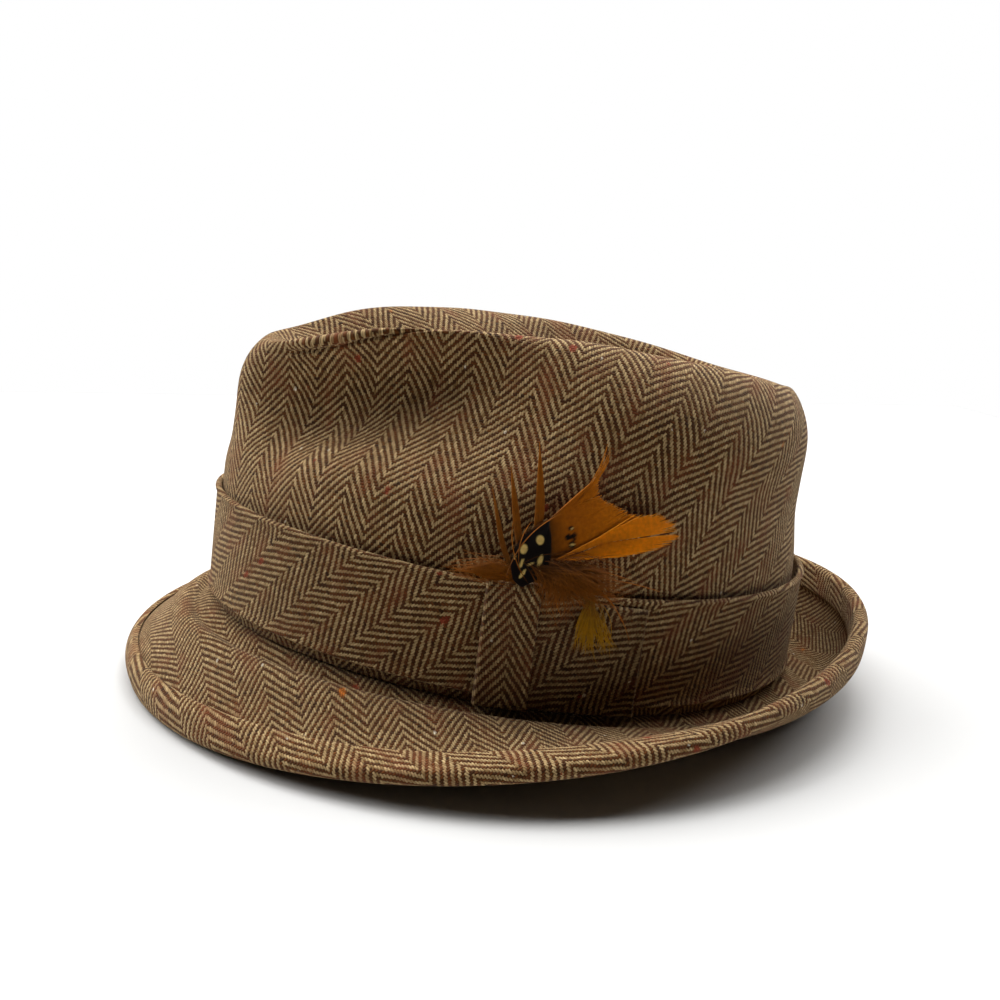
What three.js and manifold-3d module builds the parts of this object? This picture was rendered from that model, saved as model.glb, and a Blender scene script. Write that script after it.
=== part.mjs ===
import * as THREE from "three";
import { mergeVertices } from "three/addons/utils/BufferGeometryUtils.js";
import Module from "manifold-3d";

const wasm = await Module();
wasm.setup();

// A tweed trilby at rest: front towards -Y, the wearer's left side with the bow towards +X.
// Millimetres, +Z up. Angles run round the hat from the front over the wearer's left side.

// Crown and head oval
const ovalLength = 208;
const ovalWidth = 170.8;
const ovalSaddle = 2.15;
const frontDip = 3;
const crownHeight = 100;
const crownWall = 2;
const crownLean = 0.05;
const crownSink = 3;

// Brim and its binding
const brimWidth = 38;
const brimWall = 2;
const bindingWidth = 8;
const bindingWall = 1.3;
const bindingFit = 0.45;

// Hat band, the bow's keeper and its tail
const bandHeight = 34.3;
const bandWall = 1.6;
const bandFit = 0.5;
const bowAngle = 76.6;
const keeperWidth = 16;
const keeperWall = 1.2;
const keeperHang = 2.1;
const tailLength = 33;
const tailWall = 1.6;
const tailDrop = 2.6;
const tailHang = 1.2;
const lowerDroop = 0.3;

// Feather plume
const plumeHeight = 42;
const plumeReach = 41;
const featherWall = 0.9;
const featherFull = 0.8;
const featherEnd = 0.2;
const headHeight = 5;
const headDepth = 3.6;
const headWidth = 13;
const headOffset = 5;
const headRound = 0.45;
const plumeStand = 3;
const plumeSlope = 0.22;

// Fits and the way the hat lies
const clearance = 0.3;
const restPitch = 7.2;
const restSag = 0.5;

// Mesh steps
const stepsRound = 64;
const crownRows = 19;
const brimSteps = 6;
const bindingSteps = 2;
const roundSteps = 6;
const fineSteps = 48;
const keeperSteps = 5;
const tailSteps = 12;
const featherSteps = 7;
const headSteps = 4;
const walkAngle = 0.25;
const probeAngle = 1;
const probeLevel = 0.05;

const rad = THREE.MathUtils.degToRad;

// Rows of numbers under named columns
function table(columns, rows) {
  return rows.map((row) => Object.fromEntries(columns.map((name, k) => [name, row[k]])));
}

// Crown sections, a row for each angle. Each column but the first two is the distance from the
// middle as a share of the head oval; rise is the ridge's height as a share of crownHeight.
const crownSections = table(
  ["angle", "rise", "low", "waist", "pinch", "shoulder", "ridge", "wall", "floor"],
  [
    [0, 0.83, 1, 0.995, 0.985, 0.975, 0.915, 0.8, 0.55],
    [9, 0.84, 1, 0.99, 0.945, 0.905, 0.9, 0.78, 0.52],
    [20, 0.865, 0.99, 0.95, 0.82, 0.785, 0.845, 0.7, 0.44],
    [34, 0.93, 0.985, 0.925, 0.745, 0.68, 0.745, 0.55, 0.3],
    [50, 0.98, 0.985, 0.915, 0.725, 0.625, 0.65, 0.44, 0.2],
    [68, 1, 0.98, 0.925, 0.775, 0.66, 0.62, 0.4, 0.19],
    [90, 1.015, 0.98, 0.955, 0.9, 0.82, 0.65, 0.44, 0.21],
    [120, 1.005, 0.985, 0.965, 0.96, 0.935, 0.77, 0.6, 0.32],
    [150, 0.97, 0.985, 0.965, 0.96, 0.95, 0.86, 0.74, 0.48],
    [180, 0.95, 0.98, 0.965, 0.96, 0.95, 0.885, 0.77, 0.52],
  ],
);

// Height of each level of the crown's side as a share of the ridge's height at that angle, and of
// each level of the top dent as a share of the way from the dent's middle up to the ridge
const sideLevels = { low: 0.35, waist: 0.56, pinch: 0.7, shoulder: 0.87, ridge: 1 };
const dentLevels = { wall: 0.72, floor: 0.2 };
const dentMiddle = 0.74;

// Brim sections, a row for each angle: four points of the middle of the cloth from the crown to
// the edge, as shares of brimWidth outwards from the head oval and upwards from its plane.
const brimSections = table(
  ["angle", "out1", "up1", "out2", "up2", "out3", "up3", "out4", "up4"],
  [
    [0, 0.2, -0.25, 0.4, -0.46, 0.57, -0.65, 0.57, -0.805],
    [30, 0.22, -0.21, 0.43, -0.41, 0.62, -0.59, 0.68, -0.73],
    [60, 0.24, -0.165, 0.47, -0.285, 0.7, -0.4, 0.88, -0.465],
    [90, 0.25, -0.14, 0.5, -0.12, 0.73, -0.085, 0.94, -0.07],
    [120, 0.26, -0.13, 0.48, -0.02, 0.655, 0.14, 0.75, 0.31],
    [150, 0.25, -0.09, 0.46, 0.06, 0.57, 0.33, 0.585, 0.58],
    [180, 0.24, -0.085, 0.43, 0.07, 0.53, 0.38, 0.56, 0.675],
  ],
);

// Feathers, a row for each lock: root, bend and tip as shares of plumeReach along the band from
// the bow's middle and of plumeHeight above the band's top, width as a share of plumeReach, and
// the lock's distance off the crown as a share of headDepth.
const feathers = table(
  ["rootX", "rootZ", "bendX", "bendZ", "tipX", "tipZ", "width", "stand"],
  [
    [0.02, 0.08, -0.14, 0.35, -0.23, 0.58, 0.05, 0.17],
    [0.05, 0.08, -0.03, 0.42, -0.14, 0.76, 0.05, 0],
    [0.1, 0.1, 0.11, 0.5, 0.06, 0.9, 0.085, 0.08],
    [0.08, 0.05, 0.09, 0.26, 0.15, 0.45, 0.24, 0.36],
    [0.14, 0.1, 0.3, 0.46, 0.47, 0.72, 0.3, 0.06],
    [0.2, 0.1, 0.6, 0.36, 1.02, 0.52, 0.17, 0.25],
    [0.2, 0.08, 0.66, 0.26, 1.13, 0.38, 0.16, 0.25],
    [0.16, 0.08, 0.45, 0.02, 0.74, -0.1, 0.17, 0.19],
    [0.18, 0.06, 0.46, -0.12, 0.58, -0.42, 0.2, 0.44],
    [0.1, 0.1, -0.16, 0.11, -0.42, 0.06, 0.09, 0.39],
  ],
);

// Catmull-Rom spline through the rows of numbers at position t, in rows
function spline(rows, t) {
  const last = rows.length - 1;
  const i = Math.min(Math.max(Math.floor(t), 0), last - 1);
  const f = t - i;
  const b = rows[i];
  const c = rows[i + 1];
  return b.map((value, k) => {
    const before = i > 0 ? rows[i - 1][k] : 2 * value - c[k];
    const after = i + 2 <= last ? rows[i + 2][k] : 2 * c[k] - value;
    const slope = (c[k] - before) * f;
    const bow = (2 * before - 5 * value + 4 * c[k] - after) * f * f;
    const twist = (-before + 3 * value - 3 * c[k] + after) * f * f * f;
    return 0.5 * (2 * value + slope + bow + twist);
  });
}

// Values of a section table at an angle, with the wearer's right side as the left's mirror
function sectionAt(sections, angle) {
  const folded = angle > 180 ? 360 - angle : angle;
  const names = Object.keys(sections[0]).filter((name) => name !== "angle");
  const rows = sections.map((row) => names.map((name) => row[name]));
  const mirrored = [rows[1], ...rows, rows[rows.length - 2]];
  let i = 0;
  while (i < sections.length - 2 && folded >= sections[i + 1].angle) i += 1;
  const share = (folded - sections[i].angle) / (sections[i + 1].angle - sections[i].angle);
  const values = spline(mirrored, i + 1 + share);
  return Object.fromEntries(names.map((name, k) => [name, values[k]]));
}

// Point of the head oval at an angle and its outward normal in plan
function ovalPoint(angle) {
  const a = rad(angle);
  return new THREE.Vector2((ovalWidth / 2) * Math.sin(a), (-ovalLength / 2) * Math.cos(a));
}

function ovalNormal(angle) {
  const a = rad(angle);
  return new THREE.Vector2(Math.sin(a) / ovalWidth, -Math.cos(a) / ovalLength).normalize();
}

// Height of the crown's foot: raised at front and back, with a dip close round the front
function saddle(angle) {
  const frontness = Math.pow((1 + Math.cos(rad(angle))) / 2, 8);
  return ovalSaddle * Math.cos(2 * rad(angle)) - frontDip * frontness;
}

// Hat coordinates: a distance outwards from the leaning head oval and a height above its plane
function hatPoint(angle, out, up) {
  const plan = ovalPoint(angle).addScaledVector(ovalNormal(angle), out);
  return new THREE.Vector3(plan.x, plan.y - crownLean * up, up);
}

// Crown surface at an angle, level running from 0 at the foot to crownTop in the dent's middle
const crownTop = 1 + Object.keys(sideLevels).length + Object.keys(dentLevels).length;

function crownPoint(angle, level) {
  const section = sectionAt(crownSections, angle);
  const ridge = section.rise * crownHeight;
  const middle = dentMiddle * crownHeight;
  const side = Object.entries(sideLevels).map(([name, height]) => [section[name], height * ridge]);
  const dent = Object.entries(dentLevels).map(([name, height]) => {
    return [section[name], middle + height * (ridge - middle)];
  });
  const beyond = [-section.floor, dent[dent.length - 1][1]];
  const profile = [[1, saddle(angle) - crownSink], ...side, ...dent, [0, middle], beyond];
  const [share, up] = spline(profile, level);
  const foot = ovalPoint(angle).addScaledVector(ovalNormal(angle), -bandWall - bandFit);
  return new THREE.Vector3(foot.x * share, foot.y * share - crownLean * up, up);
}

// The lying hat: pitched with its front up, its lowest cloth pressed flat on the surface
const pitch = rad(-restPitch);
const frontEdge = brimSections[0];
const edgeHalf = brimWall / 2 + bindingFit + bindingWall;
const edgeLow = hatPoint(0, frontEdge.out4 * brimWidth, frontEdge.up4 * brimWidth - edgeHalf);
edgeLow.applyAxisAngle(new THREE.Vector3(1, 0, 0), pitch);
const floorHeight = edgeLow.z + restSag;

function aboveFloor(point) {
  const turned = point.clone().applyAxisAngle(new THREE.Vector3(1, 0, 0), pitch);
  return turned.setZ(turned.z - floorHeight);
}

function lie(point) {
  const lying = aboveFloor(point);
  return lying.setZ(Math.max(lying.z, 0));
}

// Triangles that close a nearly flat ring of points, wound as the ring is
function capTriangles(ring) {
  const normal = new THREE.Vector3();
  ring.forEach((point, i) => {
    normal.add(new THREE.Vector3().crossVectors(point, ring[(i + 1) % ring.length]));
  });
  normal.normalize();
  const across = ring[1].clone().sub(ring[0]).normalize();
  const upwards = new THREE.Vector3().crossVectors(normal, across);
  const flat = ring.map((point) => new THREE.Vector2(point.dot(across), point.dot(upwards)));
  return THREE.ShapeUtils.triangulateShape(flat, []);
}

// Closed body from rings of points, each square split along its shorter diagonal. Open ends are
// capped, and a looped body has none.
function bodyFromRings(rings, looped) {
  const count = rings[0].length;
  const points = rings.flat();
  const positions = points.flatMap((point) => [point.x, point.y, point.z]);
  const index = [];
  const spans = looped ? rings.length : rings.length - 1;
  for (let i = 0; i < spans; i += 1) {
    for (let j = 0; j < count; j += 1) {
      const a = i * count + j;
      const b = i * count + ((j + 1) % count);
      const c = ((i + 1) % rings.length) * count + ((j + 1) % count);
      const d = ((i + 1) % rings.length) * count + j;
      const shortAcross = points[a].distanceTo(points[c]) <= points[b].distanceTo(points[d]);
      index.push(...(shortAcross ? [a, b, c, a, c, d] : [a, b, d, b, c, d]));
    }
  }
  if (!looped) {
    for (const [ring, flip] of [[0, true], [rings.length - 1, false]]) {
      for (const corners of capTriangles(rings[ring])) {
        const [a, b, c] = corners.map((corner) => ring * count + corner);
        index.push(a, flip ? c : b, flip ? b : c);
      }
    }
  }
  const geometry = new THREE.BufferGeometry();
  geometry.setAttribute("position", new THREE.Float32BufferAttribute(positions, 3));
  geometry.setIndex(index);
  return facingOut(mergeVertices(geometry));
}

// Turns a closed body's faces round where they point inwards
function facingOut(geometry) {
  const position = geometry.attributes.position;
  const index = Array.from(geometry.index.array);
  const [a, b, c] = [new THREE.Vector3(), new THREE.Vector3(), new THREE.Vector3()];
  let volume = 0;
  for (let i = 0; i < index.length; i += 3) {
    a.fromBufferAttribute(position, index[i]);
    b.fromBufferAttribute(position, index[i + 1]);
    c.fromBufferAttribute(position, index[i + 2]);
    volume += a.dot(b.cross(c));
  }
  geometry.setIndex(volume < 0 ? index.reverse() : index);
  geometry.computeVertexNormals();
  return geometry;
}

function solid(geometry) {
  const vertProperties = new Float32Array(geometry.attributes.position.array);
  const triVerts = new Uint32Array(geometry.index.array);
  return new wasm.Manifold(new wasm.Mesh({ numProp: 3, vertProperties, triVerts }));
}

function geometryOf(body) {
  const mesh = body.getMesh();
  const geometry = new THREE.BufferGeometry();
  geometry.setAttribute("position", new THREE.Float32BufferAttribute(mesh.vertProperties, 3));
  geometry.setIndex(Array.from(mesh.triVerts));
  geometry.computeVertexNormals();
  return geometry;
}

const anglesRound = Array.from({ length: stepsRound }, (_, i) => (360 * i) / stepsRound);

// Crown: one moulded shell of cloth, open below, with the front pinches and the long top dent
function crownGeometry() {
  const levels = Array.from({ length: crownRows }, (_, i) => (crownTop * i) / crownRows);
  const inwards = (angle, level) => {
    const here = crownPoint(angle, level);
    const before = crownPoint(angle - probeAngle, level);
    const below = crownPoint(angle, Math.max(level - probeLevel, 0));
    const round = crownPoint(angle + probeAngle, level).sub(before);
    const along = crownPoint(angle, level + probeLevel).sub(below);
    const normal = round.cross(along).normalize();
    return here.addScaledVector(normal, -crownWall);
  };
  const rings = anglesRound.map((angle) => {
    const outer = levels.map((level) => crownPoint(angle, level));
    const hub = crownPoint(0, crownTop);
    const inner = levels.map((level) => inwards(angle, level)).reverse();
    const innerHub = hub.clone().setZ(hub.z - crownWall);
    inner[inner.length - 1].z = outer[0].z;
    return [...outer, hub, innerHub, ...inner].map(lie);
  });
  return bodyFromRings(rings, true);
}

// Middle line of the brim's cloth at an angle: even steps from under the crown to the binding's
// inner edge, then even steps over the binding's width
function brimLine(angle) {
  const section = sectionAt(brimSections, angle);
  const rootOut = -bandWall - bandFit - crownWall;
  const rootUp = saddle(angle) - crownSink - 2 * clearance - brimWall / 2;
  const points = [[rootOut, rootUp]];
  for (const k of [1, 2, 3, 4]) {
    points.push([section["out" + k] * brimWidth, section["up" + k] * brimWidth]);
  }
  const fine = Array.from({ length: fineSteps + 1 }, (_, i) => {
    const [out, up] = spline(points, ((points.length - 1) * i) / fineSteps);
    return new THREE.Vector2(out, up);
  });
  const lengths = fine.map(() => 0);
  fine.slice(1).forEach((point, i) => {
    lengths[i + 1] = lengths[i] + point.distanceTo(fine[i]);
  });
  const full = lengths[fineSteps];
  const marks = [];
  for (let i = 0; i < brimSteps; i += 1) marks.push(((full - bindingWidth) * i) / brimSteps);
  for (let i = bindingSteps; i >= 0; i -= 1) marks.push(full - (bindingWidth * i) / bindingSteps);
  return marks.map((mark) => {
    const found = lengths.findIndex((length) => length >= mark);
    const i = found < 0 ? fineSteps : Math.max(found, 1);
    const share = (mark - lengths[i - 1]) / (lengths[i] - lengths[i - 1]);
    return pressed(fine[i - 1].clone().lerp(fine[i], share), angle);
  });
}

// Middle of the cloth raised to where the surface below presses it
function pressed(point, angle) {
  const height = aboveFloor(hatPoint(angle, point.x, point.y)).z;
  return point.setY(point.y + Math.max(brimWall / 2 - height, 0));
}

// Unit normals of a line of section points, on its upper side
function lineNormals(line) {
  return line.map((point, i) => {
    const before = line[Math.max(i - 1, 0)];
    const after = line[Math.min(i + 1, line.length - 1)];
    const along = after.clone().sub(before).normalize();
    return new THREE.Vector2(-along.y, along.x);
  });
}

function offsetLine(line, normals, distance) {
  return line.map((point, i) => point.clone().addScaledVector(normals[i], distance));
}

// Brim: a ring of cloth, snapped down in front and curled up behind
function brimGeometry() {
  const rings = anglesRound.map((angle) => {
    const line = brimLine(angle);
    const normals = lineNormals(line);
    const end = line.length - 1;
    line[end].lerp(line[end - 1], (brimWall / 2) / (bindingWidth / bindingSteps));
    const upper = offsetLine(line, normals, brimWall / 2);
    const lower = offsetLine(line, normals, -brimWall / 2).reverse();
    return [...upper, ...lower].map((point) => lie(hatPoint(angle, point.x, point.y)));
  });
  return bodyFromRings(rings, true);
}

// Half circle round the edge from the upper side to the lower one
function edgeRound(centre, normal, radius, steps) {
  return Array.from({ length: steps + 1 }, (_, i) => {
    const turn = (-Math.PI * i) / steps;
    return normal.clone().rotateAround(new THREE.Vector2(), turn).multiplyScalar(radius).add(centre);
  });
}

// Binding: a bias strip folded round the brim's edge, a rounded U in section
function bindingGeometry() {
  const inside = brimWall / 2 + bindingFit;
  const outside = inside + bindingWall;
  const rings = anglesRound.map((angle) => {
    const line = brimLine(angle);
    const normals = lineNormals(line).slice(brimSteps);
    const stretch = line.slice(brimSteps);
    const end = bindingSteps;
    const legs = (distance) => offsetLine(stretch, normals, distance).slice(0, end);
    const outer = [
      ...legs(outside),
      ...edgeRound(stretch[end], normals[end], outside, roundSteps),
      ...legs(-outside).reverse(),
    ];
    const inner = [
      ...legs(-inside),
      ...edgeRound(stretch[end], normals[end], inside, roundSteps / 2).reverse(),
      ...legs(inside).reverse(),
    ];
    return [...outer, ...inner].map((point) => lie(hatPoint(angle, point.x, point.y)));
  });
  return bodyFromRings(rings, true);
}

// Band: a folded strip round the crown, its two edges rounded
function bandGeometry() {
  const edge = bandWall / 2;
  const rings = anglesRound.map((angle) => {
    const low = saddle(angle);
    const high = low + bandHeight;
    const section = [
      [-bandWall, low + edge],
      [-edge, low],
      [0, low + edge],
      [0, high - edge],
      [-edge, high],
      [-bandWall, high - edge],
    ];
    return section.map(([out, up]) => lie(hatPoint(angle, out, up)));
  });
  return bodyFromRings(rings, true);
}

// Angle reached at a distance along the band from the bow's middle
function angleAlong(distance) {
  const stepAngle = walkAngle * Math.sign(distance);
  let angle = bowAngle;
  let travelled = 0;
  while (travelled < Math.abs(distance)) {
    travelled += ovalPoint(angle).distanceTo(ovalPoint(angle + stepAngle));
    angle += stepAngle;
  }
  return angle;
}

// Strip of cloth on the band between two distances, its section given at each share of its length
function stripGeometry(from, to, steps, sectionOf) {
  const rings = Array.from({ length: steps + 1 }, (_, i) => {
    const share = i / steps;
    const angle = angleAlong(from + (to - from) * share);
    return sectionOf(share, angle).map(([out, up]) => lie(hatPoint(angle, out, up)));
  });
  return bodyFromRings(rings, false);
}

// Keeper: a loop round the band and the tail's start, its top lip turned over the band's edge
const keeperBack = clearance + tailWall + clearance;
const keeperFront = keeperBack + keeperWall;

function keeperGeometry() {
  return stripGeometry(-keeperWidth / 2, keeperWidth / 2, keeperSteps, (_, angle) => {
    const low = saddle(bowAngle) - keeperHang;
    const under = saddle(angle) + bandHeight + clearance;
    const top = under + keeperWall;
    const round = keeperWall / 2;
    return [
      [keeperBack, low + round],
      [keeperBack + round, low],
      [keeperFront, low + round],
      [keeperFront, top - round],
      [keeperBack + round, top],
      [-bandWall + round, top],
      [-bandWall, under + round],
      [-bandWall + round, under],
      [keeperBack, under],
    ];
  });
}

// Tail: the strip's free end, from inside the keeper, hanging a little lower at its end
const tailStart = -keeperWidth / 2 + 2 * clearance;
const tailEnd = keeperWidth / 2 + tailLength;

function tailGeometry() {
  return stripGeometry(tailStart, tailEnd, tailSteps, (share, angle) => {
    const droop = tailDrop * share;
    const low = saddle(angle) - tailHang - droop * lowerDroop;
    const high = saddle(angle) + bandHeight - droop;
    const round = tailWall / 2;
    return [
      [clearance, low + round],
      [clearance + round, low],
      [clearance + tailWall, low + round],
      [clearance + tailWall, high - round],
      [clearance + round, high],
      [clearance, high - round],
    ];
  });
}

// Plume: feathers bound in one head that sits on the keeper's lip, leaning on the crown
const headSeat = saddle(bowAngle) + bandHeight + clearance + keeperWall + 2 * clearance;
const plumeBase = saddle(bowAngle) + bandHeight;

function plumePoint(along, up, stand) {
  const lean = Math.max(up - headSeat, 0) * plumeSlope;
  return lie(hatPoint(angleAlong(along), plumeStand + stand - lean, up));
}

function featherGeometry(row) {
  const points = [
    [row.rootX * plumeReach, plumeBase + row.rootZ * plumeHeight],
    [row.bendX * plumeReach, plumeBase + row.bendZ * plumeHeight],
    [row.tipX * plumeReach, plumeBase + row.tipZ * plumeHeight],
  ];
  const rings = Array.from({ length: featherSteps + 1 }, (_, i) => {
    const share = i / featherSteps;
    const reached = share * (points.length - 1);
    const [x, z] = spline(points, reached);
    const [nextX, nextZ] = spline(points, reached + probeLevel);
    const across = new THREE.Vector2(z - nextZ, nextX - x).normalize();
    const spread = Math.max(Math.sin(Math.PI * Math.pow(share, featherFull)), featherEnd);
    const half = (row.width * plumeReach * spread) / 2;
    const thick = featherWall / 2;
    const stand = row.stand * headDepth;
    const side = (offset, lift) => {
      return plumePoint(x + across.x * offset, z + across.y * offset, stand + lift);
    };
    return [side(-half, 0), side(0, thick), side(half, 0), side(0, -thick)];
  });
  return bodyFromRings(rings, false);
}

function headGeometry() {
  const low = headSeat;
  const rings = Array.from({ length: headSteps + 1 }, (_, i) => {
    const share = i / headSteps;
    const full = 1 - headRound + headRound * Math.sin(Math.PI * share);
    const along = headOffset + (share - 0.5) * headWidth;
    const high = headSeat + headHeight * full;
    const out = headDepth * full;
    return [
      plumePoint(along, low, -out / 2),
      plumePoint(along, low, out / 2),
      plumePoint(along, high, out / 4),
      plumePoint(along, high, -out / 2),
    ];
  });
  return bodyFromRings(rings, false);
}

function plumeGeometry() {
  const head = solid(headGeometry());
  const whole = feathers.reduce((body, row) => body.add(solid(featherGeometry(row))), head);
  return geometryOf(whole);
}

// Materials and the named pieces
function piece(name, geometry, colour) {
  const material = new THREE.MeshStandardMaterial({ color: colour, roughness: 0.95, metalness: 0 });
  const mesh = new THREE.Mesh(geometry, material);
  mesh.name = name;
  return mesh;
}

const group = new THREE.Group();
group.add(piece("crown", crownGeometry(), 0x806445));
group.add(piece("brim", brimGeometry(), 0x6c5338));
group.add(piece("brim_binding", bindingGeometry(), 0x65523e));
group.add(piece("hat_band", bandGeometry(), 0x735c42));
group.add(piece("bow_keeper", keeperGeometry(), 0x5c4632));
group.add(piece("bow_tail", tailGeometry(), 0x4b3725));
group.add(piece("feather_plume", plumeGeometry(), 0xb4640f));

// The origin is below the middle of the whole hat, on the surface it lies on
const extent = new THREE.Box3().setFromObject(group);
group.position.x = -(extent.min.x + extent.max.x) / 2;
group.position.y = -(extent.min.y + extent.max.y) / 2;
group.updateMatrixWorld(true);

export default group;
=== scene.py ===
import bmesh
import bpy
import numpy as np
from mathutils import Matrix, Vector


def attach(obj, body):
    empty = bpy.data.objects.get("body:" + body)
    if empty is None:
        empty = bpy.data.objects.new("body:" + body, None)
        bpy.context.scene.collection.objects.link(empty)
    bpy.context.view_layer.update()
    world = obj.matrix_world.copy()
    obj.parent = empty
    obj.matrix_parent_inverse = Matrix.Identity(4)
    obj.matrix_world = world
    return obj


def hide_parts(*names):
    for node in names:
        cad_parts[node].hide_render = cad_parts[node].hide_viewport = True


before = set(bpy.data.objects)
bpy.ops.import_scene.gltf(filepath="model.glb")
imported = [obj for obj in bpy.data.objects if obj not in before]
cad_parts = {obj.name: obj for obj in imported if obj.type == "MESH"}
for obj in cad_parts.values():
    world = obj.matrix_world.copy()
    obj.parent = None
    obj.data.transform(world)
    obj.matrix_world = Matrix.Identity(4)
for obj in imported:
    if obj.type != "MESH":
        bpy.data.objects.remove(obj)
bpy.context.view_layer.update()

# The photograph is taken from the wearer's left, a little before the side and above the brim,
# from near by with a normal lens, and the frame is turned by a few degrees.
camera_place = Vector((0.4114, -0.1175, 0.1561))
camera_aim = Vector((-0.0128, -0.0001, 0.0544))
camera_roll = np.radians(3.2)


def put(name, data):
    """New object in the scene, with no move or turn of its own."""
    made = bpy.data.objects.new(name, data)
    bpy.context.scene.collection.objects.link(made)
    return made


camera_back = (camera_place - camera_aim).normalized()
level_right = Vector((0, 0, 1)).cross(camera_back).normalized()
level_up = camera_back.cross(level_right)
camera_right = level_right * np.cos(camera_roll) + level_up * np.sin(camera_roll)
camera_up = level_up * np.cos(camera_roll) - level_right * np.sin(camera_roll)

camera_data = bpy.data.cameras.new("camera")
camera_data.lens = 45
camera_data.clip_start = 0.01
camera = put("camera", camera_data)
camera_turn = Matrix((camera_right, camera_up, camera_back)).transposed()
camera.matrix_world = Matrix.Translation(camera_place) @ camera_turn.to_4x4()
bpy.context.scene.camera = camera
bpy.context.scene.view_settings.view_transform = "Standard"

# Studio light: a soft box overhead and two behind the hat, to its left and right, which leave
# its near side in shade, and a pale room all round, which the camera sees as plain white.
room_light = 0.04
room_colour = (1, 0.86, 0.7, 1)
# where each lamp shines from, its softness in degrees and its power
lamps = (
    ("overhead", (-0.38, 0.04, 0.92), 45, 2.7),
    ("behind_left", (-0.48, -0.6, 0.62), 55, 3.9),
    ("behind_right", (-0.5, 0.6, 0.62), 60, 3.4),
)
for name, from_where, softness, power in lamps:
    lamp_data = bpy.data.lights.new(name, "SUN")
    lamp_data.angle = np.radians(softness)
    lamp_data.energy = power
    lamp = put(name, lamp_data)
    lamp.rotation_euler = (-Vector(from_where)).to_track_quat("-Z", "Y").to_euler()


def fill(node, **values):
    """Sets a node's inputs by their names, with a low line for a space."""
    for name, value in values.items():
        node.inputs[name.replace("_", " ")].default_value = value


def join(tree, *pairs):
    """Links each pair of sockets, from an output to an input."""
    for source, target in pairs:
        tree.links.new(source, target)


room = bpy.data.worlds.new("room")
room.use_nodes = True
room_nodes = room.node_tree.nodes
room_back = room_nodes["Background"]
fill(room_back, Color=room_colour, Strength=room_light)
white = room_nodes.new("ShaderNodeBackground")
fill(white, Color=(1, 1, 1, 1))
seen = room_nodes.new("ShaderNodeLightPath")
either = room_nodes.new("ShaderNodeMixShader")
join(room.node_tree, (seen.outputs["Is Camera Ray"], either.inputs[0]),
     (room_back.outputs[0], either.inputs[1]), (white.outputs[0], either.inputs[2]),
     (either.outputs[0], room_nodes["World Output"].inputs[0]))
bpy.context.scene.world = room

# Floor: a pale, seamless sheet of studio paper that the hat lies on by itself, wide enough to
# take its shadow and plain enough to run out into the white of the room.
floor_half = 0.6
paper_white = (0.55, 0.55, 0.545, 1)


def new_finish(name, roughness):
    """New material of a roughness, with its node tree and its main shader."""
    material = bpy.data.materials.new(name)
    material.use_nodes = True
    shader = material.node_tree.nodes["Principled BSDF"]
    fill(shader, Roughness=roughness)
    return material, material.node_tree, shader


floor_mesh = bpy.data.meshes.new("floor")
floor_corners = [(x * floor_half, y * floor_half, 0)
                 for x, y in ((-1, -1), (1, -1), (1, 1), (-1, 1))]
floor_mesh.from_pydata(floor_corners, [], [(0, 1, 2, 3)])
floor = put("floor", floor_mesh)
paper, _, paper_shader = new_finish("paper", roughness=0.9)
fill(paper_shader, Base_Color=paper_white)
floor_mesh.materials.append(paper)

# Crown: a tweed shell blocked to shape, its front pinched on both sides and its top dented from
# front to back. It is two panels of herringbone joined along the middle by a flat seam.
oval_length = 208.0
oval_width = 170.8
oval_saddle = 2.15
front_dip = 3.0
front_dip_power = 8
crown_height = 100.0
crown_wall = 2.0
crown_lean = 0.05
crown_sink = 3.0
band_wall = 1.6
band_fit = 0.5
rest_pitch = np.radians(7.2)
floor_height = -17.037
middle_shift = 0.441
side_levels = np.array([0.35, 0.56, 0.7, 0.87, 1.0])
dent_levels = np.array([0.72, 0.2])
dent_middle = 0.74
crown_top = 8.0
# angle, rise, low, waist, pinch, shoulder, ridge, wall, floor
crown_rows = np.array([
    [0, 0.83, 1, 0.995, 0.985, 0.975, 0.915, 0.8, 0.55],
    [9, 0.84, 1, 0.99, 0.945, 0.905, 0.9, 0.78, 0.52],
    [20, 0.865, 0.99, 0.95, 0.82, 0.785, 0.845, 0.7, 0.44],
    [34, 0.93, 0.985, 0.925, 0.745, 0.68, 0.745, 0.55, 0.3],
    [50, 0.98, 0.985, 0.915, 0.725, 0.625, 0.65, 0.44, 0.2],
    [68, 1, 0.98, 0.925, 0.775, 0.66, 0.62, 0.4, 0.19],
    [90, 1.015, 0.98, 0.955, 0.9, 0.82, 0.65, 0.44, 0.21],
    [120, 1.005, 0.985, 0.965, 0.96, 0.935, 0.77, 0.6, 0.32],
    [150, 0.97, 0.985, 0.965, 0.96, 0.95, 0.86, 0.74, 0.48],
    [180, 0.95, 0.98, 0.965, 0.96, 0.95, 0.885, 0.77, 0.52],
])
column_lean = np.radians(24)


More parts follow.
